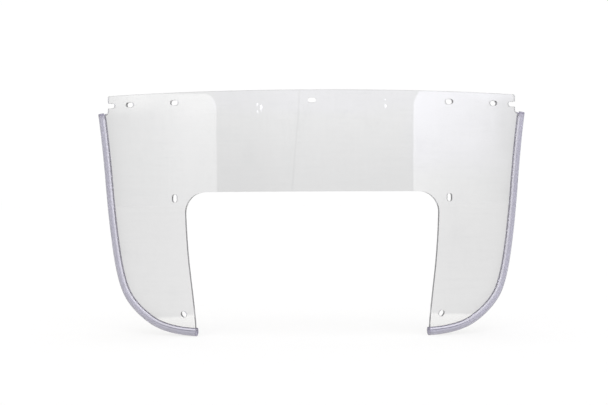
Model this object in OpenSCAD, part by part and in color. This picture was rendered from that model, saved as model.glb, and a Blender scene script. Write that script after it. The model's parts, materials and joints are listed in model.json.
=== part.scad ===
// Lower panel of a two-piece touring motorcycle windshield.
//
// A clear sheet, bent to one even curve about a vertical axis, with its convex face to the
// front (-Y). A U-shaped cut-out at the bottom clears the headlamp and the fork. Screw slots
// take the brackets and the joint strips. A split vinyl tube is pushed over each outer edge.
//
// Positions on the sheet are given on its flat pattern: s is the distance from the middle,
// along the convex face, and z is the height. The origin is the centre of the middle slot of
// the top row, on the convex face. Left and right are the rider's, so left is +X.

/* [Sheet] */
// Radius of the convex face about the vertical axis
outer_r = 680; // [600:5:800]
// Thickness of the clear sheet
sheet_t = 4.8; // [3:0.1:6]
// Height of the top edge above the top row of slots
top_z = 14; // [12:0.5:20]
// Distance of the top strip's side edge from the middle
strip_s = 301.5; // [298:0.5:304]
// Height of the foot of that side edge, where the sheet widens under the tube
strip_foot_z = -9; // [-9.5:0.5:-7]
// Height at which the widened edge is reached
flare_z = -16; // [-22:0.5:-15]
// Radius of the two top corners
top_corner_r = 2.5; // [1:0.5:4]

/* [Cut-out] */
// Height of the cut-out's top edge
cut_top_z = -124.5; // [-122:0.5:-110]
// Half width of the cut-out just under its corners
cut_half_s = 178; // [172:0.5:179]
// Radius of the cut-out's two corners
cut_corner_r = 29; // [15:0.5:35]
// Distance of the cut-out's side from the middle, at the foot of the wing
cut_foot_s = 162.8; // [158:0.2:166]

/* [Slots] */
// Width of a screw slot
slot_w = 7.1; // [5:0.1:8]
// Length of the other screw slots, end to end
slot_len = 11.5; // [9:0.5:14]
// Distance of the inner slots from the middle, in the top row and beside the cut-out
inner_slot_s = 194; // [190:0.5:200]
// Distance of the outer slots of the top row from the middle
outer_slot_s = 264.5; // [250:0.5:270]
// Distance of the round end of each open side notch from the middle
notch_end_s = 290; // [286:0.5:294]
// Height of the two upright slots beside the cut-out
side_slot_z = -133; // [-140:0.5:-125]
// Distance of the slanted wing slots from the middle
wing_slot_s = 181; // [178:0.5:184]
// Height of the slanted wing slots
wing_slot_z = -293.5; // [-297:0.5:-285]
// Length of the wing slots, end to end
wing_slot_len = 9; // [8:0.5:12]
// Angle of the wing slots' long axis from level
wing_slot_tilt = 53; // [40:1:70]

/* [Edge tube] */
// Outer diameter of the split tube
tube_d = 12; // [10:0.5:13]
// Wall of the split tube
tube_wall = 1.5; // [1:0.1:1.8]
// Distance from the tube's centre line in to the edge of the sheet
edge_inset = 1.4; // [1:0.1:2.5]
// Gap between each lip of the tube and the sheet
lip_gap = 0.15; // [0.1:0.05:0.3]
// Rings along each span of the tube's centre line
rings_per_span = 9; // [6:1:12]
// Steps round the tube from lip to lip
steps_round = 15; // [13:1:20]

/* [Hidden] */
$fn = 96;

// Guide points of the tube's centre line on the flat pattern, [s, z], from the top end down the
// side and round to the foot of the wing. The line is drawn smoothly between them.
TUBE_GUIDE = [
    [313, -11],
    [305.5, -56],
    [295, -166],
    [279.5, -254],
    [254.5, -288.5],
    [207.5, -316.5],
    [162, -317.5]
];

// Guide points of the cut-out's side, from its corner to below the foot of the wing
CUT_GUIDE = [
    [cut_half_s, cut_top_z - cut_corner_r],
    [cut_half_s - 1.5, cut_top_z - 75],
    [cut_foot_s + 3.5, cut_top_z - 155],
    [cut_foot_s, -316],
    [cut_foot_s, -340]
];

deg_per_mm = 180 / PI / outer_r;
blank_low_z = -330;
blank_half_angle = 320 * deg_per_mm;
overcut = 3;
mid_r = outer_r - sheet_t / 2;
tube_r = tube_d / 2;
tube_inner_r = tube_r - tube_wall;
slit_half = sheet_t / 2 + lip_gap;
wing_station_s = 285;
cut_station_s = 170;

// A smooth line: parabolas that join at the middles of the guide lines
function halfway(a, b) = (a + b) / 2;
function parabola(a, b, c, t) = pow(1 - t, 2) * a + 2 * t * (1 - t) * b + pow(t, 2) * c;
function smooth(guide, steps) = let (last = len(guide) - 1) concat(
    [for (i = [1 : last - 1])
        let (from = i == 1 ? guide[0] : halfway(guide[i - 1], guide[i]))
        let (to = i == last - 1 ? guide[last] : halfway(guide[i], guide[i + 1]))
        for (k = [0 : steps - 1]) parabola(from, guide[i], to, k / steps)],
    [guide[last]]
);

// Points of an arc about [s, z]
function arc(centre, r, from, to, steps) = [
    for (k = [0 : steps])
        let (a = from + (to - from) * k / steps)
        centre + r * [cos(a), sin(a)]
];

// The unit direction of a line at its point i, and the line moved sideways to its right
function heading(line, i) =
    let (d = line[min(i + 1, len(line) - 1)] - line[max(i - 1, 0)]) d / norm(d);
function moved_right(line, by) = [
    for (i = [0 : len(line) - 1])
        let (h = heading(line, i))
        line[i] + by * [h.y, -h.x]
];

tube_line = smooth(TUBE_GUIDE, rings_per_span);
sheet_edge = [for (p = moved_right(tube_line, edge_inset)) if (p.y < flare_z) p];

// Looking straight at the sheet from the station s0, where the point [s, z] is seen
function seen_from(s0, p) = [outer_r * sin((p.x - s0) * deg_per_mm), p.y];

// Puts children on the convex face at the station s0: x runs along s, y up and z out of the face
module at_station(s0) {
    translate([0, outer_r, 0])
        rotate([0, 0, s0 * deg_per_mm])
            translate([0, -outer_r, 0])
                rotate([90, 0, 0])
                    children();
}

// Cuts the flat-pattern outline through the sheet, square to the face at the station s0
module cut_outline(s0, outline) {
    at_station(s0)
        translate([0, 0, -60])
            linear_extrude(height = 100)
                polygon([for (p = outline) seen_from(s0, p)]);
}

module both_sides() {
    children();
    mirror([1, 0, 0]) children();
}

// The bent sheet before it is trimmed, level along its top edge
module bent_blank() {
    translate([0, outer_r, blank_low_z])
        rotate([0, 0, -90 - blank_half_angle])
            rotate_extrude(angle = 2 * blank_half_angle, $fn = 256)
                translate([outer_r - sheet_t, 0])
                    square([sheet_t, top_z - blank_low_z]);
}

// Everything outside the wing: the side edge of the top strip, its flare and the long curve
module outside_of_wing() {
    far_s = 345;
    // the rounding starts at a slant, so that the cut crosses the top edge cleanly
    slant = 60;
    corner = arc([strip_s - top_corner_r, top_z - top_corner_r], top_corner_r, slant, 0, 5);
    line_in = corner[0] + overcut * [-sin(slant), cos(slant)];
    cut_outline(wing_station_s, concat(
        [[far_s, top_z + overcut], [line_in.x, top_z + overcut], line_in],
        corner,
        [[strip_s, strip_foot_z]],
        sheet_edge,
        [[cut_foot_s - 10, blank_low_z - overcut], [far_s, blank_low_z - overcut]]
    ));
}

// One half of the U, cut square to the sheet near its side, and reaching just past the middle
module half_of_cut_out() {
    corner_at = [cut_half_s - cut_corner_r, cut_top_z - cut_corner_r];
    side = smooth(CUT_GUIDE, 6);
    cut_outline(cut_station_s, concat(
        [[-overcut, cut_top_z]],
        arc(corner_at, cut_corner_r, 90, 0, 12),
        [for (i = [1 : len(side) - 1]) side[i]],
        [[-overcut, CUT_GUIDE[4].y]]
    ));
}

// A slot with round ends, square to the face at its centre
module screw_slot(s, z, tilt = 0, length = slot_len) {
    run = (length - slot_w) / 2;
    depth = sheet_t + 2 * overcut;
    at_station(s)
        translate([0, z, -sheet_t - overcut])
            rotate([0, 0, tilt]) {
                for (x = [-run, run])
                    translate([x, 0, 0]) cylinder(d = slot_w, h = depth);
                translate([-run, -slot_w / 2, 0]) cube([2 * run, slot_w, depth]);
            }
}

// A slot that runs out through the side edge of the top strip
module side_notch() {
    length = 2 * (strip_s - notch_end_s);
    screw_slot(notch_end_s + length / 2, 0, 0, length);
}

module windscreen_panel() {
    color([0.89, 0.91, 0.92])
        difference() {
            bent_blank();
            screw_slot(0, 0);
            both_sides() {
                outside_of_wing();
                half_of_cut_out();
                side_notch();
                screw_slot(inner_slot_s, 0);
                screw_slot(outer_slot_s, 0);
                screw_slot(inner_slot_s, side_slot_z, 90);
                screw_slot(wing_slot_s, wing_slot_z, wing_slot_tilt, wing_slot_len);
            }
        }
}

// A point of the flat pattern on the middle surface of the bent sheet, and the way out of it
function out_of_face(s) = [sin(s * deg_per_mm), -cos(s * deg_per_mm), 0];
function on_sheet(p) = [0, outer_r, p.y] + mid_r * out_of_face(p.x);

// The split tube's section, [across, out], from lip to lip round the outside and back inside
function lip_angle(r) = 180 - asin(slit_half / r);
section = concat(
    arc([0, 0], tube_r, -lip_angle(tube_r), lip_angle(tube_r), steps_round),
    arc([0, 0], tube_inner_r, lip_angle(tube_inner_r), -lip_angle(tube_inner_r), steps_round)
);

// One ring of the section, square to the tube's line at its point i
function ring(line, i) =
    let (ahead = on_sheet(line[min(i + 1, len(line) - 1)]) - on_sheet(line[max(i - 1, 0)]))
    let (out = out_of_face(line[i].x))
    let (across = cross(out, ahead / norm(ahead)))
    [for (q = section) on_sheet(line[i]) + q.x * across + q.y * out];

// The split tube along the edge at +X, left open at both ends
module edge_tube() {
    n = len(section);
    rings = len(tube_line);
    walls = [for (i = [0 : rings - 2], j = [0 : n - 1])
        let (a = i * n + j)
        let (b = i * n + (j + 1) % n)
        each [[a, b, b + n], [a, b + n, a + n]]];
    // the two ends: the C shape as a strip between its outer and inner arcs
    ends = [for (i = [0, rings - 1], j = [0 : steps_round - 1])
        let (a = i * n + j)
        let (b = i * n + n - 1 - j)
        each i == 0 ? [[a, b, a + 1], [a + 1, b, b - 1]] : [[a, a + 1, b], [a + 1, b - 1, b]]];
    polyhedron(
        points = [for (i = [0 : rings - 1]) each ring(tube_line, i)],
        faces = concat(walls, ends),
        convexity = 6
    );
}

module left_edge_tube() {
    color([0.66, 0.65, 0.71]) edge_tube();
}

module right_edge_tube() {
    color([0.66, 0.65, 0.71]) mirror([1, 0, 0]) edge_tube();
}

windscreen_panel();
left_edge_tube();
right_edge_tube();
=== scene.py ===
"""Looks for the lower panel of a two-piece touring motorcycle windshield.

The clear sheet is bent to one even curve about a vertical axis, with its convex face to -Y.
Places on it are flat-pattern points: s is the distance from the middle along the convex face, and
z is the height. The names of the pieces go by the rider's left and right, so left is at +X.
"""
import json
import math

import bmesh
import bpy
import numpy as np
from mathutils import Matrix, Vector


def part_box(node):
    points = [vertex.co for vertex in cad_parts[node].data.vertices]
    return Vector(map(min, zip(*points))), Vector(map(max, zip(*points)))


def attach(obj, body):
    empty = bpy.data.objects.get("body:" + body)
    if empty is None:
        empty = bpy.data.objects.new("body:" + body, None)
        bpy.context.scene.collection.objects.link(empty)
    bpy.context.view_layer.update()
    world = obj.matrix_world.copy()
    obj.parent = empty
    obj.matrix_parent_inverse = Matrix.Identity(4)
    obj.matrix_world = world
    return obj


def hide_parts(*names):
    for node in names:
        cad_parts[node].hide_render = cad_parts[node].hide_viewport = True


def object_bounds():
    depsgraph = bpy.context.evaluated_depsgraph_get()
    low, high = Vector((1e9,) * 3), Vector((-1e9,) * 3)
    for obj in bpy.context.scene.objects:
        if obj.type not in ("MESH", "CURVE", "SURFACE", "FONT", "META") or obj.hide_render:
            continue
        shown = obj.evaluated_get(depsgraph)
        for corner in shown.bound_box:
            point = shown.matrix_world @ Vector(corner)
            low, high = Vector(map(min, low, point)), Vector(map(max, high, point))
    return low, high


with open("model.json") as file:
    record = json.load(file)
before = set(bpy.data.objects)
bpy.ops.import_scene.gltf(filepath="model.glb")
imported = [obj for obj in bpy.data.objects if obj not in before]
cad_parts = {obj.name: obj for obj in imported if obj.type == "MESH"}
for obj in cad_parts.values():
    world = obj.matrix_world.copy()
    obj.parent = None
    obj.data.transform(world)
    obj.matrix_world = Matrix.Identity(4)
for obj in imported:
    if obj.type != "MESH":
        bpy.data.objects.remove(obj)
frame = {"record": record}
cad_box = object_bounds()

MM = 0.001

# ---------------------------------------------------------------- sizes, from the frame

record = frame["record"]
mounts = {m["name"]: m for m in record["mounts"]}
panel_low, panel_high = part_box("windscreen_panel")

outer_slot = mounts["top_slot_outer_left"]
OUTER_R = outer_slot["pos_m"][0] / outer_slot["axis"][0]
SLOT_R = outer_slot["dims"]["hole_r_mm"] * MM
TOP_Z = panel_high.z

# ---------------------------------------------------------------- sizes, as the CAD has them

SHEET_T = 4.8 * MM
STRIP_S = 301.5 * MM
STRIP_FOOT_Z = -9 * MM
FLARE_Z = -16 * MM
TOP_CORNER_R = 2.5 * MM
NOTCH_END_S = 290 * MM
WING_SLOT_TILT = math.radians(53)
SIDE_SLOT_TILT = math.radians(90)

CUT_TOP_Z = -124.5 * MM
CUT_HALF_S = 178 * MM
CUT_CORNER_R = 29 * MM

TUBE_R = 6 * MM
TUBE_WALL = 1.5 * MM
EDGE_INSET = 1.4 * MM

# Guide points of the tube's centre line and of the cut-out's side, in millimetres
TUBE_GUIDE = [(313, -11), (305.5, -56), (295, -166), (279.5, -254), (254.5, -288.5),
              (207.5, -316.5), (162, -317.5)]
CUT_GUIDE = [(178, -153.5), (176.5, -199.5), (166.3, -279.5), (162.8, -316), (162.8, -340)]

# ---------------------------------------------------------------- sizes of the finer meshes

# Roundings that the CAD leaves sharp
EDGE_ROUND = 0.25 * MM
NOTCH_CORNER_R = 0.8 * MM
STRIP_FOOT_R = 2 * MM
FLARE_R = 1.2 * MM
WING_FOOT_R = 1.5 * MM
LIP_ROUND = 0.4 * MM

# The tube's lips lie closer to the sheet than in the CAD, where they are kept clear of it
LIP_GAP = 0.08 * MM
# How far from the sheet's middle a lip's rounding ends
LIP_LEVEL = SHEET_T / 2 + LIP_GAP + LIP_ROUND
# A lip's corner lies a touch nearer the middle of the tube than the end of the wall
LIP_CORNER_IN = 0.995

# Angles round the sheet's rim, from facing front to facing back
RING_ANGLES = [0, 30, 60, 90, 90, 120, 150, 180]

# The sheet's grid, and the steps along its outline and along the tube
CELL_WIDTH = 8 * MM
CELL_HEIGHT = 14 * MM
EDGE_STEP = 2.5 * MM
CUT_STEP = 4 * MM
TUBE_STEP = 2.5 * MM
# Steps along the tube's line to which the sheet's distances are measured
MEASURING_STEP = 2 * MM
# How far the outline's points stay from the corner at the foot of the wing, which is rounded
FOOT_CLEAR = 2 * MM
# Below this cosine a miter grows no more
MITER_LIMIT = 0.5
# Distances at which two things count as one: when cutting, and after
CUT_PRECISION = 1e-7
TOUCHING = 1e-6


# ---------------------------------------------------------------- lines on the flat pattern

def smooth_line(guide_mm, steps):
    """Parabolas that join at the middles of the guide lines."""
    guide = [np.array(p, float) * MM for p in guide_mm]
    line = []
    for i in range(1, len(guide) - 1):
        start = guide[0] if i == 1 else (guide[i - 1] + guide[i]) / 2
        end = guide[-1] if i == len(guide) - 2 else (guide[i] + guide[i + 1]) / 2
        for t in np.arange(steps) / steps:
            line.append(parabola(start, guide[i], end, t))
    return line + [guide[-1]]


def parabola(start, corner, end, t):
    """The point at t, from 0 to 1, of the parabola that leaves start and reaches end along the
    lines to the corner."""
    return (1 - t) ** 2 * start + 2 * t * (1 - t) * corner + t * t * end


def even_steps(line, step):
    """The same line with its points an even distance apart."""
    line = np.array(line)
    run = np.concatenate([[0], np.cumsum(np.linalg.norm(np.diff(line, axis=0), axis=1))])
    at = np.linspace(0, run[-1], max(2, round(run[-1] / step) + 1))
    return [np.array([np.interp(a, run, line[:, 0]), np.interp(a, run, line[:, 1])]) for a in at]


def moved_right(line, by):
    """The line moved sideways to its right."""
    moved = []
    for i, p in enumerate(line):
        ahead = line[min(i + 1, len(line) - 1)] - line[max(i - 1, 0)]
        ahead = ahead / np.linalg.norm(ahead)
        moved.append(p + by * np.array([ahead[1], -ahead[0]]))
    return moved


def arc(centre, radius, start, end, steps):
    """Points of an arc, from the angle start to the angle end, in degrees."""
    angles = np.radians(np.linspace(start, end, steps + 1))
    return [np.array(centre) + radius * np.array([math.cos(a), math.sin(a)]) for a in angles]


def fillet(before, corner, after, radius, steps=5):
    """The corner rounded, as points of a parabola that is close to an arc of that radius."""
    before, corner, after = (np.array(p, float) for p in (before, corner, after))
    back, ahead = before - corner, after - corner
    back, ahead = back / np.linalg.norm(back), ahead / np.linalg.norm(ahead)
    half_angle = math.acos(np.clip(back @ ahead, -1, 1)) / 2
    reach = radius / math.tan(half_angle)
    start, end = corner + back * reach, corner + ahead * reach
    return [parabola(start, corner, end, t) for t in np.linspace(0, 1, steps + 1)]


TUBE_LINE = smooth_line(TUBE_GUIDE, steps=40)


def half_outline():
    """The sheet's outline on the +s side, from the top edge down and round to the cut-out."""
    edge = even_steps(moved_right(TUBE_LINE, EDGE_INSET), EDGE_STEP)
    edge = [p for p in edge if p[1] < FLARE_Z]
    cut = even_steps(smooth_line(CUT_GUIDE, steps=12), CUT_STEP)
    cut = [p for p in cut if p[1] > edge[-1][1]]
    wing_foot = (cut[-1][0], edge[-1][1])
    edge = [p for p in edge if p[0] > wing_foot[0] + FOOT_CLEAR]
    cut = [p for p in cut if p[1] > wing_foot[1] + FOOT_CLEAR]

    top_corner = (STRIP_S - TOP_CORNER_R, TOP_Z - TOP_CORNER_R)
    above_notch, below_notch = (STRIP_S, SLOT_R), (STRIP_S, -SLOT_R)
    notch_s = NOTCH_END_S + SLOT_R
    strip_foot = (STRIP_S, STRIP_FOOT_Z)
    cut_corner = (CUT_HALF_S - CUT_CORNER_R, CUT_TOP_Z - CUT_CORNER_R)
    return [
        *arc(top_corner, TOP_CORNER_R, 90, 0, steps=6),
        *fillet((STRIP_S, TOP_Z), above_notch, (notch_s, SLOT_R), NOTCH_CORNER_R),
        *arc((notch_s, 0), SLOT_R, 90, 270, steps=16),
        *fillet((notch_s, -SLOT_R), below_notch, strip_foot, NOTCH_CORNER_R),
        *fillet(below_notch, strip_foot, edge[0], STRIP_FOOT_R),
        *fillet(strip_foot, edge[0], edge[1], FLARE_R),
        *edge[1:],
        *fillet(edge[-1], wing_foot, cut[-1], WING_FOOT_R),
        *reversed(cut[1:]),
        *arc(cut_corner, CUT_CORNER_R, 0, 90, steps=14),
    ]


def flat_place(mount):
    """Where a mount lies on the flat pattern."""
    angle = math.atan2(mount["axis"][0], -mount["axis"][1])
    return np.array([OUTER_R * angle, mount["pos_m"][2]])


def slot_outline(centre, tilt, length):
    """A slot with round ends, its long axis at tilt from level."""
    run = length / 2 - SLOT_R
    points = arc((run, 0), SLOT_R, -90, 90, steps=12)
    points += arc((-run, 0), SLOT_R, 90, 270, steps=12)
    turn = np.array([[math.cos(tilt), math.sin(tilt)], [-math.sin(tilt), math.cos(tilt)]])
    return [centre + p @ turn for p in points]


def slot_outlines():
    """All slots but the two side notches, which are part of the sheet's outline."""
    outlines = []
    for name, mount in mounts.items():
        if name.startswith("edge_notch"):
            continue
        side = -1 if name.endswith("right") else 1
        tilt = 0.0
        if name.startswith("side_slot"):
            tilt = SIDE_SLOT_TILT
        if name.startswith("wing_slot"):
            tilt = side * WING_SLOT_TILT
        length = mount["dims"]["slot_length_mm"] * MM
        outlines.append(slot_outline(flat_place(mount), tilt, length))
    return outlines


# ---------------------------------------------------------------- the bend, and new meshes

def bent(s, z, depth):
    """A flat-pattern point at a depth under the convex face, on the bent sheet."""
    angle = s / OUTER_R
    radius = OUTER_R - depth
    return Vector((radius * math.sin(angle), OUTER_R - radius * math.cos(angle), z))


def out_of_face(s):
    """The way out of the convex face."""
    angle = s / OUTER_R
    return Vector((math.sin(angle), -math.cos(angle), 0))


def along_face(s, way):
    """A flat-pattern direction, on the bent sheet."""
    angle = s / OUTER_R
    return Vector((way[0] * math.cos(angle), way[0] * math.sin(angle), way[1]))


def new_mesh(name, coords, faces, kept):
    """A mesh whose points keep the numbers in each of the named lists."""
    mesh = bpy.data.meshes.new(name)
    mesh.from_pydata(coords, [], faces)
    mesh.validate()
    for key, values in kept.items():
        mesh.attributes.new(key, "FLOAT", "POINT").data.foreach_set("value", values)
    return mesh


# ---------------------------------------------------------------- the clear sheet

def inset(loop, by, hole):
    """The loop moved into the sheet: inwards for the outline, outwards for a hole."""
    points = np.array(loop)
    following = np.roll(points, -1, axis=0)
    area = np.sum(points[:, 0] * following[:, 1] - following[:, 0] * points[:, 1])
    inwards = np.sign(area) * (-1 if hole else 1)
    ahead = following - points
    ahead /= np.linalg.norm(ahead, axis=1)[:, None]
    normal = inwards * np.stack([-ahead[:, 1], ahead[:, 0]], axis=1)
    both = normal + np.roll(normal, 1, axis=0)
    both /= np.linalg.norm(both, axis=1)[:, None]
    miter = 1 / np.clip(np.sum(both * normal, axis=1), MITER_LIMIT, 1)
    return points + both * (by * miter)[:, None]


def grid_rows():
    """Heights of the grid's rows. A row runs through the middle of every slot, so that no cell
    has a hole."""
    middles = sorted({round(m["pos_m"][2], 6) for m in mounts.values()}, reverse=True)
    stops = middles + [panel_low.z]
    rows = [TOP_Z / 2]
    for high, low in zip(stops, stops[1:]):
        count = max(1, round((high - low) / CELL_HEIGHT))
        rows += list(np.linspace(high, low, count + 1)[:-1])
    return rows


def flat_sheet(loops):
    """One face between the loops, cut into a grid of cells, as a bmesh in the s, z plane."""
    bm = bmesh.new()
    for loop in loops:
        verts = [bm.verts.new((p[0], p[1], 0)) for p in loop]
        for i, v in enumerate(verts):
            bm.edges.new((v, verts[(i + 1) % len(verts)]))
    bmesh.ops.triangle_fill(bm, use_beauty=True, edges=bm.edges[:], normal=(0, 0, 1))
    count = math.ceil(max(v.co.x for v in bm.verts) / CELL_WIDTH)
    columns = [i * CELL_WIDTH for i in range(-count, count + 1)]
    rows = grid_rows()
    cuts = [((s, 0, 0), (1, 0, 0)) for s in columns] + [((0, z, 0), (0, 1, 0)) for z in rows]
    for place, normal in cuts:
        bmesh.ops.bisect_plane(bm, geom=bm.verts[:] + bm.edges[:] + bm.faces[:],
                               dist=CUT_PRECISION, plane_co=place, plane_no=normal)

    def on_a_line(a, b, lines):
        return abs(a - b) < TOUCHING and min(abs(a - line) for line in lines) < TOUCHING

    def on_grid(edge):
        a, b = (v.co for v in edge.verts)
        return on_a_line(a.x, b.x, columns) or on_a_line(a.y, b.y, rows)

    stray = [e for e in bm.edges if not e.is_boundary and not on_grid(e)]
    bmesh.ops.dissolve_edges(bm, edges=stray, use_verts=False)
    needless = [v for v in bm.verts if len(v.link_edges) == 2 and not v.is_boundary]
    bmesh.ops.dissolve_verts(bm, verts=needless)
    for face in bm.faces:
        if face.normal.z < 0:
            face.normal_flip()
    bm.verts.index_update()
    return bm


def rim_edges(bm):
    """The two vertices of each edge on a rim, in the order in which its face goes round."""
    loops = [edge.link_loops[0] for edge in bm.edges if edge.is_boundary]
    return [(loop.vert, loop.link_loop_next.vert) for loop in loops]


def rim_normals(bm):
    """For each vertex on a rim: the way out of the sheet there, and its miter."""
    found = {}
    for a, b in rim_edges(bm):
        way = (b.co - a.co).normalized()
        normal = np.array([way.y, -way.x])
        for v in (a, b):
            found.setdefault(v.index, []).append(normal)
    rims = {}
    for index, normals in found.items():
        both = sum(normals)
        both = both / np.linalg.norm(both)
        rims[index] = (both, 1 / max(MITER_LIMIT, float(both @ normals[0])))
    return rims


def sheet_mesh(name):
    """The bent sheet, with its cut edges square to its faces and lightly rounded. For its material
    each point keeps how far it is from the tube's line, and if it is on a cut edge."""
    half = half_outline()
    whole = half + [np.array([-p[0], p[1]]) for p in reversed(half)]
    loops = [inset(whole, EDGE_ROUND, hole=False)]
    loops += [inset(slot, EDGE_ROUND, hole=True) for slot in slot_outlines()]
    bm = flat_sheet(loops)
    tube = np.array(even_steps(TUBE_LINE, MEASURING_STEP))
    coords, normals, faces = [], [], []
    kept = {"to_tube": [], "rim": []}

    def add(p, depth, normal, on_rim=0.0):
        """Adds a point under the flat-pattern point p, and returns its index."""
        coords.append(bent(p[0], p[1], depth))
        normals.append(normal)
        kept["rim"].append(on_rim)
        to_tube = np.min(np.hypot(tube[:, 0] - abs(p[0]), tube[:, 1] - p[1]))
        kept["to_tube"].append(float(to_tube))
        return len(coords) - 1

    flat = [np.array(v.co[:2]) for v in bm.verts]
    front = [add(p, 0, out_of_face(p[0])) for p in flat]
    back = [add(p, SHEET_T, -out_of_face(p[0])) for p in flat]
    for face in bm.faces:
        ids = [v.index for v in face.verts]
        faces.append([front[i] for i in ids])
        faces.append([back[i] for i in reversed(ids)])

    # the rim: a column of points from front to back at each of its vertices
    columns = {}
    for index, (way, miter) in rim_normals(bm).items():
        p, column = flat[index], [front[index]]
        for k, degrees in enumerate(RING_ANGLES[1:-1], 1):
            angle = math.radians(degrees)
            rounded = EDGE_ROUND * (1 - abs(math.cos(angle)))
            depth = rounded if k < len(RING_ANGLES) / 2 else SHEET_T - rounded
            at = p + way * (EDGE_ROUND * math.sin(angle) * miter)
            outwards = along_face(at[0], way) * math.sin(angle)
            normal = out_of_face(at[0]) * math.cos(angle) + outwards
            column.append(add(at, depth, normal, on_rim=1.0))
        columns[index] = column + [back[index]]
    for a, b in rim_edges(bm):
        near, far = columns[a.index], columns[b.index]
        for k in range(len(RING_ANGLES) - 1):
            faces.append([far[k], near[k], near[k + 1], far[k + 1]])
    bm.free()
    mesh = new_mesh(name, coords, faces, kept)
    mesh.shade_smooth()
    mesh.normals_split_custom_set_from_vertices(normals)
    return mesh


# ---------------------------------------------------------------- the split tubes

def tube_section():
    """The split tube's section, [across, out], anticlockwise, with its two lips rounded."""
    inner_r = TUBE_R - TUBE_WALL

    def reach(radius):
        return 180 - math.degrees(math.asin(LIP_LEVEL / radius))

    outer_end, inner_end = reach(TUBE_R - LIP_ROUND), reach(inner_r + LIP_ROUND)
    outer = arc((0, 0), TUBE_R, -outer_end, outer_end, steps=44)
    inner = arc((0, 0), inner_r, inner_end, -inner_end, steps=32)

    def lip(start, end, side):
        """From one wall face round to the other along the sheet, with both corners rounded."""
        level = side * (LIP_LEVEL - LIP_ROUND)
        first_corner = (start[0] * LIP_CORNER_IN, level)
        last_corner = (end[0] * LIP_CORNER_IN, level)
        first = fillet(start, first_corner, (end[0], level), LIP_ROUND, steps=4)
        last = fillet((start[0], level), last_corner, end, LIP_ROUND, steps=4)
        return first[1:] + last[:-1]

    return outer + lip(outer[-1], inner[0], 1) + inner + lip(inner[-1], outer[0], -1)


def tube_mesh(name, side):
    """The split tube swept along the sheet's edge, on the side of x that side gives, and open at
    both ends. For its material each point keeps how far along the tube it is, how far from the
    nearer end, how far round from the outermost line, from -1 to 1, and if it is on a lip."""
    line = even_steps(TUBE_LINE, TUBE_STEP)
    section = tube_section()
    centres = [bent(p[0], p[1], SHEET_T / 2) for p in line]
    whole_run = sum((b - a).length for a, b in zip(centres, centres[1:]))
    coords, faces = [], []
    kept = {"along": [], "to_end": [], "turn": [], "lip": []}
    run = 0.0
    for i, p in enumerate(line):
        ahead = (centres[min(i + 1, len(line) - 1)] - centres[max(i - 1, 0)]).normalized()
        out = out_of_face(p[0])
        across = out.cross(ahead).normalized()
        run += (centres[i] - centres[max(i - 1, 0)]).length
        for q in section:
            at = centres[i] + across * q[0] + out * q[1]
            coords.append((side * at.x, at.y, at.z))
            kept["along"].append(run)
            kept["to_end"].append(min(run, whole_run - run))
            kept["turn"].append(math.atan2(q[1], q[0]) / math.pi)
            kept["lip"].append(float(q[0] < 0 and abs(q[1]) < LIP_LEVEL))
    count = len(section)
    for i in range(len(line) - 1):
        for j in range(count):
            a, b = i * count + j, i * count + (j + 1) % count
            faces.append([a, b, b + count, a + count])
    last = (len(line) - 1) * count
    faces.append(list(reversed(range(count))))
    faces.append(list(range(last, last + count)))
    if side < 0:
        faces = [list(reversed(f)) for f in faces]
    mesh = new_mesh(name, coords, faces, kept)
    finish_ends(mesh)
    return mesh


def finish_ends(mesh):
    """Smooth walls, and flat ends with sharp rims. The ends are the only faces with more than
    four corners."""
    bm = bmesh.new()
    bm.from_mesh(mesh)
    ends = [f for f in bm.faces if len(f.verts) > 4]
    rims = {e for f in ends for e in f.edges}
    bmesh.ops.triangulate(bm, faces=ends)
    bmesh.ops.recalc_face_normals(bm, faces=bm.faces[:])
    for face in bm.faces:
        face.smooth = True
    for edge in rims:
        edge.smooth = False
    bm.to_mesh(mesh)
    bm.free()


def piece(name, mesh, material, node):
    """Adds a piece that stands for a CAD node. Nothing moves, so it rides on the one body."""
    ob = bpy.data.objects.new(name, mesh)
    bpy.context.scene.collection.objects.link(ob)
    ob.data.materials.append(material)
    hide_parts(node)
    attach(ob, "root")


# ---------------------------------------------------------------- node shorthands

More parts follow.
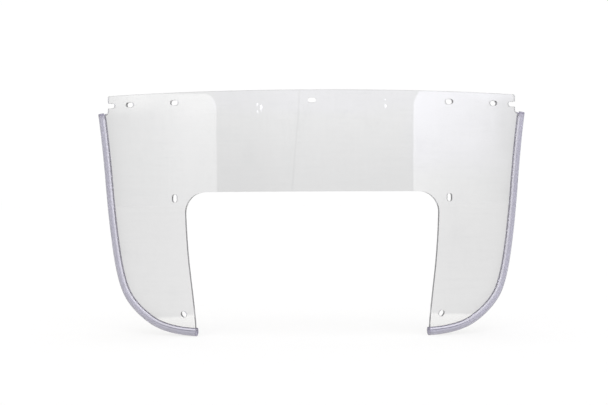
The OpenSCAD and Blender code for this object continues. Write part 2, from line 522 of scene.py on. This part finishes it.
class Tree:
    """A node tree with short ways to add its nodes. An input is a number, a colour or a socket."""

    def __init__(self, tree):
        self.tree = tree
        tree.nodes.clear()

    def node(self, kind, settings=None, **inputs):
        made = self.tree.nodes.new(kind)
        for key, value in (settings or {}).items():
            setattr(made, key, value)
        for key, value in inputs.items():
            self.put(made.inputs[key.replace("_", " ")], value)
        return made

    def put(self, socket, value):
        if isinstance(value, bpy.types.NodeSocket):
            self.tree.links.new(value, socket)
        else:
            socket.default_value = value

    def maths(self, operation, *values):
        made = self.node("ShaderNodeMath", {"operation": operation})
        for socket, value in zip(made.inputs, values):
            self.put(socket, value)
        return made.outputs[0]

    def add(self, *values):
        total = values[0]
        for value in values[1:]:
            total = self.maths("ADD", total, value)
        return total

    def times(self, *values):
        product = values[0]
        for value in values[1:]:
            product = self.maths("MULTIPLY", product, value)
        return product

    def minus(self, a, b):
        return self.maths("SUBTRACT", a, b)

    def rest_of(self, share):
        return self.maths("SUBTRACT", 1, share)

    def divided(self, a, b):
        return self.maths("DIVIDE", a, b)

    def power(self, a, b):
        return self.maths("POWER", a, b)

    def larger(self, a, b):
        return self.maths("MAXIMUM", a, b)

    def size(self, value):
        return self.maths("ABSOLUTE", value)

    def length(self, u, v):
        return self.maths("SQRT", self.add(self.times(u, u), self.times(v, v)))

    def ramp(self, value, low, high, smooth=True):
        """0 where value is at low, 1 where it is at high."""
        kind = "SMOOTHSTEP" if smooth else "LINEAR"
        made = self.node("ShaderNodeMapRange", {"interpolation_type": kind})
        for key, number in (("Value", value), ("From Min", low), ("From Max", high)):
            self.put(made.inputs[key], number)
        return made.outputs[0]

    def mix(self, share, a, b):
        """A colour between a and b."""
        made = self.node("ShaderNodeMix", {"data_type": "RGBA"})
        self.put(made.inputs[0], share)
        self.put(made.inputs[6], a)
        self.put(made.inputs[7], b)
        return made.outputs[2]

    def place(self):
        return self.node("ShaderNodeTexCoord").outputs["Object"]

    def kept(self, key):
        """A number that each point of the mesh keeps."""
        return self.node("ShaderNodeAttribute", {"attribute_name": key}).outputs["Fac"]

    def noise(self, vector, scale, detail, roughness):
        made = self.node("ShaderNodeTexNoise", Vector=vector, Scale=scale, Detail=detail,
                         Roughness=roughness)
        return made.outputs[0]

    def stretched(self, vector, scale):
        return self.node("ShaderNodeMapping", Vector=vector, Scale=scale).outputs[0]

    def bump(self, height, strength, distance):
        made = self.node("ShaderNodeBump", Strength=strength, Distance=distance, Height=height)
        return made.outputs[0]

    def choose(self, share, first, second):
        """The second shader's share is share, and the first one has the rest."""
        both = self.node("ShaderNodeMixShader")
        for socket, value in zip(both.inputs, (share, first.outputs[0], second.outputs[0])):
            self.put(socket, value)
        return both.outputs[0]

    def let_light_by(self, shader, share):
        """The shader, with a share of each light's rays let straight through to what is behind."""
        clear = self.node("ShaderNodeBsdfTransparent", Color=(share, share, share, 1))
        from_light = self.node("ShaderNodeLightPath").outputs["Is Shadow Ray"]
        return self.choose(from_light, shader, clear)


def new_material(name):
    material = bpy.data.materials.new(name)
    material.use_nodes = True
    return material, Tree(material.node_tree)


# ---------------------------------------------------------------- materials

# Where a look has two colours, a noise mixes them

WHITE = (1, 1, 1, 1)

SHEET_CLEAN = (0.930, 0.930, 0.932, 1)
SHEET_RUBBED = (0.880, 0.882, 0.885, 1)
# painted shade on the sheet beside the tubes
SHEET_SHADE_BESIDE_TUBE = (0.80, 0.80, 0.80, 1)
SHEET_DEPTH = (0.515, 0.515, 0.515, 1)
SHEET_DENSITY = 70.0
SHEET_IOR = 1.585
SHEET_LETS_BY = 0.92
RUBS_UPRIGHT = (260, 260, 16)
RUBS_LEVEL = (14, 14, 300)

VINYL_OUTER = (0.53, 0.52, 0.59, 1), (0.59, 0.58, 0.64, 1)
# painted highlight over the sheet, and painted light on the back half
VINYL_PAINTED_LIGHT = (0.86, 0.85, 0.90, 1), (0.93, 0.92, 0.96, 1)
VINYL_EDGE_LINE = (0.20, 0.19, 0.24, 1)
# painted shade inside the open top end
VINYL_SHADE_NEAR_TOP = (0.34, 0.33, 0.37, 1)
# painted shade at the front lip's corner, and painted light and shade on the lips
VINYL_CORNER_SHADE = (0.30, 0.28, 0.36, 1)
VINYL_LIP_LIT_AT_SIDE = (0.96, 0.93, 1.0, 1)
VINYL_LIP_SHADED_AT_FOOT = (0.20, 0.18, 0.25, 1)
# painted shade at the tube's cut ends
VINYL_CUT_END_SHADE = (0.38, 0.36, 0.44, 1)
VINYL_IOR = 1.53
VINYL_CLEARNESS = 0.45
VINYL_LETS_BY = 0.85

FLOOR_REACH = 60.0
FLOOR_GREYS = (0.295, 0.295, 0.295, 1), (0.305, 0.305, 0.305, 1)
FLOOR_GLOW = (1.0, 0.998, 0.969, 1)
FLOOR_GLOW_STRENGTH = 0.629


def clear_sheet():
    """Clear polycarbonate: a faint grey through its thickness, so its long ways look dark, with
    faint rub marks, hazy patches and the slight waves of a bent sheet. Its colour has painted
    shade beside the tubes, and its cut edges are satin."""
    material, t = new_material("clear_polycarbonate")
    place = t.place()
    waves = t.noise(place, scale=9, detail=2, roughness=0.4)
    upright = t.noise(t.stretched(place, RUBS_UPRIGHT), scale=1, detail=4, roughness=0.6)
    level = t.noise(t.stretched(place, RUBS_LEVEL), scale=1, detail=4, roughness=0.6)
    rubs = t.add(t.times(upright, 0.5), t.times(level, 0.5))
    patches = t.ramp(t.noise(place, scale=22, detail=5, roughness=0.62), 0.50, 0.78)
    spots = t.ramp(t.noise(place, scale=75, detail=4, roughness=0.6), 0.64, 0.76)
    haze = t.add(t.times(patches, 0.55), t.times(spots, 0.45))
    dull = t.add(t.times(t.ramp(rubs, 0.42, 0.66), 0.35), haze)
    colour = t.mix(dull, SHEET_CLEAN, SHEET_RUBBED)

    # the distance to the tube is in metres
    # painted shade: the sheet's colour is darker towards the tubes
    shade_beside_tube = t.power(t.ramp(t.kept("to_tube"), 0.030, 0.002, smooth=False), 2.5)
    colour = t.mix(t.times(shade_beside_tube, 0.7), colour, SHEET_SHADE_BESIDE_TUBE)

    satin = t.times(t.kept("rim"), t.add(0.45, t.times(rubs, 0.2)))
    shader = t.node("ShaderNodeBsdfPrincipled", Base_Color=colour, Roughness=satin,
                    IOR=SHEET_IOR, Transmission_Weight=1.0,
                    Normal=t.bump(waves, strength=0.25, distance=0.0012))
    depth = t.node("ShaderNodeVolumeAbsorption", Color=SHEET_DEPTH, Density=SHEET_DENSITY)
    t.node("ShaderNodeOutputMaterial", Surface=t.let_light_by(shader, SHEET_LETS_BY),
           Volume=depth.outputs[0])
    return material


def vinyl():
    """Cloudy translucent vinyl, greyish lavender. It is extruded, so its fine lines run along it.
    It has a painted highlight over the sheet and painted light on its back half and side lips, and
    painted shade at its cut ends, inside its open top end, beside its front lip and along the
    foot's lip, with a darker line where the sheet's edge shows through in the foot."""
    material, t = new_material("grey_vinyl")
    # along and to_end are in metres, and turn goes from -1 to 1, with 0 on the outermost line
    along, to_end, turn, lip = (t.kept(key) for key in ("along", "to_end", "turn", "lip"))
    round_turn = t.size(turn)
    foot = t.ramp(along, 0.29, 0.35)

    def drawn_out(around, lengthwise, roughness):
        """Noise of one scale around the tube and another along it."""
        joined = t.node("ShaderNodeCombineXYZ", X=t.times(turn, around),
                        Y=t.times(along, lengthwise))
        return t.noise(joined.outputs[0], scale=1, detail=3, roughness=roughness)

    lines = drawn_out(45, 6, roughness=0.6)
    streaks = t.ramp(drawn_out(7, 22, roughness=0.55), 0.35, 0.7)
    cloud = t.add(t.times(streaks, 0.5), t.times(lines, 0.5))

    # painted highlight on the wall over the sheet, and painted light on the back half, which lies
    # in shade
    back_half = t.ramp(turn, -0.40, -0.50)
    side_painted_light = t.larger(t.ramp(round_turn, 0.64, 0.80), back_half)
    foot_painted_light = t.ramp(round_turn, 0.57, 0.61)
    painted_light_share = t.add(t.times(side_painted_light, t.rest_of(foot)), t.times(foot_painted_light, foot, 0.8))
    colour = t.mix(painted_light_share, t.mix(cloud, *VINYL_OUTER), t.mix(cloud, *VINYL_PAINTED_LIGHT))

    # the sheet's edge shows as a line in the foot
    edge_line = t.ramp(t.size(t.minus(round_turn, 0.615)), 0.045, 0.02)
    colour = t.mix(t.times(edge_line, foot, 0.85), colour, VINYL_EDGE_LINE)

    # painted shade inside the top end, where no sheet fills the slit
    open_part = t.larger(t.ramp(round_turn, 0.66, 0.78), back_half)
    shade_near_top = t.times(t.ramp(along, 0.010, 0.005), t.add(0.1, t.times(open_part, 0.75)))
    colour = t.mix(shade_near_top, colour, VINYL_SHADE_NEAR_TOP)

    # painted shade at the front lip's corner, where it meets the sheet; the lips get painted light
    # at the sides and painted shade at the foot
    corner_from = t.minus(0.785, t.times(foot, 0.02))
    corner_to = t.minus(0.83, t.times(foot, 0.035))
    corner = t.times(t.ramp(turn, corner_from, corner_to), t.add(0.2, t.times(foot, 0.7)))
    colour = t.mix(corner, colour, VINYL_CORNER_SHADE)
    colour = t.mix(lip, colour, t.mix(foot, VINYL_LIP_LIT_AT_SIDE, VINYL_LIP_SHADED_AT_FOOT))

    # painted shade at the cut ends and over the top few millimetres
    cut_end_shade = t.larger(t.ramp(along, 0.0042, 0.0026), t.ramp(to_end, 0.0016, 0.0005))
    colour = t.mix(t.times(cut_end_shade, 0.85), colour, VINYL_CUT_END_SHADE)

    nicks = t.ramp(t.noise(t.place(), scale=420, detail=2, roughness=0.5), 0.66, 0.74)
    height = t.minus(lines, t.times(nicks, 0.08))
    rough = t.add(0.16, t.times(lines, 0.12))
    shader = t.node("ShaderNodeBsdfPrincipled", Base_Color=colour, Roughness=rough,
                    IOR=VINYL_IOR, Transmission_Weight=VINYL_CLEARNESS,
                    Normal=t.bump(height, strength=0.1, distance=0.0002))
    t.node("ShaderNodeOutputMaterial", Surface=t.let_light_by(shader, VINYL_LETS_BY))
    return material


def floor_material():
    """Matt and pale. Its own glow brings it up to the backdrop's brightness."""
    material, t = new_material("pale_floor")
    patches = t.noise(t.place(), scale=30, detail=4, roughness=0.6)
    shader = t.node("ShaderNodeBsdfPrincipled", Base_Color=t.mix(patches, *FLOOR_GREYS),
                    Roughness=0.9, Specular_IOR_Level=0.0, Emission_Color=FLOOR_GLOW,
                    Emission_Strength=FLOOR_GLOW_STRENGTH)
    t.node("ShaderNodeOutputMaterial", Surface=shader.outputs[0])
    return material


# ---------------------------------------------------------------- studio

# Directions in the studio are in degrees: the azimuth from straight in front of the panel towards
# +X, and the level up from the horizon. Left and right go by the picture here, so the left box is
# on the -X side. The reflections in the sheet show what stands there.
BOX_LOW, BOX_HIGH = -30, 7.12
LEFT_BOX_INNER, LEFT_BOX_OUTER = -28.0, -68
RIGHT_BOX_INNER, RIGHT_BOX_OUTER = 30.8, 68
BOX_CORNER_ACROSS, BOX_CORNER_UP = 3.0, 0.9
BOX_SOFTNESS = 0.07

# Where a ramp starts and where it is full
UPPER_PART = 5.3, 6.4
TOP_ROW = 6.2, 6.9
ABOVE_BOXES = 6.0, 7.2
BELOW_HORIZON = 0.6, -1.4
TABLE = -7.1, -7.3

# The small lamps: azimuth, level, half width and half height
LAMPS = [(-14.5, 6.36, 0.30, 0.17), (-15.7, 6.60, 0.20, 0.06), (-15.6, 6.13, 0.20, 0.07),
         (22.5, 6.23, 0.28, 0.09), (22.4, 6.60, 0.20, 0.05)]
LAMP_STRENGTH = 5.0
LAMP_SOFTNESS = 0.3

BACKDROP_STRENGTH = 1.010
BEHIND_STRENGTH = 0.85
SHARE_ON_MATT = 0.75
TABLE_TINT = (1.0, 0.985, 0.94, 1)
BLUISH_TINT = (0.99, 0.98, 1.11, 1)


class Studio(Tree):
    """The world's node tree, with the azimuth and the level of each direction."""

    def __init__(self, tree):
        super().__init__(tree)
        way = self.node("ShaderNodeTexCoord").outputs["Generated"]
        x, y, z = self.node("ShaderNodeSeparateXYZ", Vector=way).outputs
        self.azimuth = self.maths("DEGREES", self.maths("ARCTAN2", x, self.times(y, -1)))
        self.level = self.maths("DEGREES", self.maths("ARCSINE", z))

    def across(self, start, full):
        return self.ramp(self.azimuth, start, full)

    def up(self, start, full):
        return self.ramp(self.level, start, full)

    def soft_box(self, inner, outer):
        """1 in a rounded rectangle of directions, from inner to outer."""
        def past(value, a, b, corner):
            middle, half = (a + b) / 2, abs(b - a) / 2
            beyond = self.minus(self.size(self.minus(value, middle)), half - corner)
            return self.larger(self.divided(beyond, corner), 0)

        far = self.length(past(self.azimuth, inner, outer, BOX_CORNER_ACROSS),
                          past(self.level, BOX_LOW, BOX_HIGH, BOX_CORNER_UP))
        return self.ramp(far, 1 + BOX_SOFTNESS, 1 - BOX_SOFTNESS)

    def lamp(self, azimuth, level, half_width, half_height):
        """1 in a small oval of directions."""
        u = self.divided(self.minus(self.azimuth, azimuth), half_width)
        v = self.divided(self.minus(self.level, level), half_height)
        return self.ramp(self.length(u, v), 1 + LAMP_SOFTNESS, 1 - LAMP_SOFTNESS)

    def left_box(self):
        """Fades to its outer side, and is brighter at its inner side and along its top."""
        shape = self.times(self.soft_box(LEFT_BOX_INNER, LEFT_BOX_OUTER), self.across(-68, -51))
        glow = self.add(0.74, self.times(self.across(-52, -36), 0.38),
                        self.times(self.up(*UPPER_PART), 0.25))
        glow = self.minus(glow, self.times(self.up(*BELOW_HORIZON), 0.18))
        return self.times(shape, glow)

    def right_box(self):
        """Fades to its outer side, and is brightest at its inner side and high up."""
        shape = self.times(self.soft_box(RIGHT_BOX_INNER, RIGHT_BOX_OUTER), self.across(64, 48))
        inwards = self.larger(self.across(60, 31), self.times(self.up(*ABOVE_BOXES), 0.7))
        inner_edge = self.power(inwards, 4.0)
        high_up = self.minus(self.times(inwards, 0.75), self.times(inner_edge, 0.37))
        high_up = self.times(high_up, self.up(1.0, 8.0))
        glow = self.add(0.70, self.times(inner_edge, 0.55))
        glow = self.minus(glow, self.times(self.up(-0.5, -3.0), 0.25))
        glow = self.minus(glow, self.times(self.up(*BELOW_HORIZON), 0.30))
        return self.times(shape, self.add(glow, high_up))

    def wall(self):
        """What is behind the boxes: rather dark, and paler upwards. It is brightest just under
        the ceiling, and the far ends and the part beside the left box have tones of their own."""
        on_left = self.times(self.across(-28, -58), self.rest_of(self.up(*ABOVE_BOXES)))
        climb = self.minus(1.25, self.times(on_left, 0.75))
        light = self.add(0.35, self.times(self.up(0.0, 9.0), climb))
        light = self.minus(light, self.times(self.up(9, 50), 0.5))
        far_left = self.times(self.up(*UPPER_PART), self.across(-45, -55))
        light = self.add(light, self.times(far_left, 0.50))
        light = self.minus(light, self.times(self.across(-4, -20), 0.37))
        top_row = self.up(*TOP_ROW)
        far_right = self.times(self.across(56, 61), self.up(2.5, 4.0), self.rest_of(top_row))
        light = self.minus(light, self.times(far_right, 0.4))
        top_right = self.times(top_row, self.across(50, 55))
        return self.add(light, self.times(top_right, 0.5))

    def camera_side(self):
        """The wall with its boxes, lamps and one thin dark seam, over the bright table."""
        light = self.add(self.wall(), self.left_box(), self.right_box())
        for lamp in LAMPS:
            light = self.add(light, self.times(self.lamp(*lamp), LAMP_STRENGTH))
        slant = self.times(self.level, 0.29)
        from_seam = self.size(self.add(self.azimuth, self.minus(5.25, slant)))
        light = self.minus(light, self.times(self.ramp(from_seam, 0.45, 0.1), 0.45))
        table = self.up(*TABLE)
        on_table = self.add(0.9, self.times(self.up(-12.5, -8.9), 2.5))
        return self.add(self.times(light, self.rest_of(table)), self.times(on_table, table))

    def tint(self):
        """A little blue on the right and along the top, but not over the left box, and a little
        warm on the table."""
        on_right = self.times(self.across(25, 33), self.up(0.8, 3.2))
        along_top = self.times(self.up(5.4, 6.6), self.across(-31, -27))
        tint = self.mix(self.larger(on_right, self.times(along_top, 0.9)), WHITE, BLUISH_TINT)
        return self.mix(self.up(*TABLE), tint, TABLE_TINT)


def studio_world():
    """A pale backdrop all round for what the camera sees, directly or through the clear sheet. The
    reflections see the studio: two soft boxes either side of a darker camera side, a light
    ceiling and the pale table."""
    world = bpy.data.worlds.new("studio")
    bpy.context.scene.world = world
    world.use_nodes = True
    t = Studio(world.node_tree)
    in_front = t.ramp(t.size(t.azimuth), 110, 60)
    strength = t.add(t.times(t.camera_side(), in_front),
                     t.times(BEHIND_STRENGTH, t.rest_of(in_front)))
    path = t.node("ShaderNodeLightPath").outputs
    in_gloss = t.times(path["Is Glossy Ray"], 1 - SHARE_ON_MATT)
    studio = t.node("ShaderNodeBackground", Color=t.tint(),
                    Strength=t.times(strength, t.add(SHARE_ON_MATT, in_gloss)))
    backdrop = t.node("ShaderNodeBackground", Color=WHITE, Strength=BACKDROP_STRENGTH)
    bounces = t.add(path["Glossy Depth"], path["Diffuse Depth"])
    straight = t.times(path["Is Transmission Ray"], t.maths("LESS_THAN", bounces, 0.5))
    seen = t.larger(path["Is Camera Ray"], straight)
    t.node("ShaderNodeOutputWorld", Surface=t.choose(seen, studio, backdrop))


def pale_floor():
    """At the foot of the panel, and hidden from the reflections, which see the table."""
    mesh = bpy.data.meshes.new("floor")
    far, z = FLOOR_REACH, cad_box[0].z
    corners = [(-far, -far, z), (far, -far, z), (far, far, z), (-far, far, z)]
    mesh.from_pydata(corners, [], [[0, 1, 2, 3]])
    floor = bpy.data.objects.new("floor", mesh)
    bpy.context.scene.collection.objects.link(floor)
    mesh.materials.append(floor_material())
    floor.visible_glossy = False


KEY_STRENGTH = 1.6
KEY_WIDTH = math.radians(70)
KEY_TILT = math.radians(12)


def key_light():
    """A wide, soft light from above and a little from the front. It shows neither in reflections
    nor through the sheet."""
    data = bpy.data.lights.new("key", "SUN")
    data.energy = KEY_STRENGTH
    data.angle = KEY_WIDTH
    light = bpy.data.objects.new("key", data)
    light.rotation_euler = (KEY_TILT, 0, 0)
    light.visible_glossy = False
    light.visible_transmission = False
    bpy.context.scene.collection.objects.link(light)


CAMERA_PLACE = (-0.0113, -1.180, -0.1394)
CAMERA_TURN = (math.radians(90), math.radians(0.27), 0)
CAMERA_LENS_MM = 51.5
CAMERA_SENSOR_MM = 36


def front_camera():
    """About level with the top of the cut-out, and a little to the rider's right."""
    data = bpy.data.cameras.new("camera")
    data.lens = CAMERA_LENS_MM
    data.sensor_width = CAMERA_SENSOR_MM
    camera = bpy.data.objects.new("camera", data)
    camera.location = CAMERA_PLACE
    camera.rotation_euler = CAMERA_TURN
    bpy.context.scene.collection.objects.link(camera)
    bpy.context.scene.camera = camera


front_camera()
studio_world()
key_light()
pale_floor()

piece("windscreen_sheet", sheet_mesh("windscreen_sheet"), clear_sheet(), "windscreen_panel")
tube_look = vinyl()
for side_name, side in (("left", 1), ("right", -1)):
    piece(side_name + "_edge_trim", tube_mesh(side_name + "_edge_trim", side), tube_look,
          side_name + "_edge_tube")

bpy.context.scene.view_settings.view_transform = "Standard"
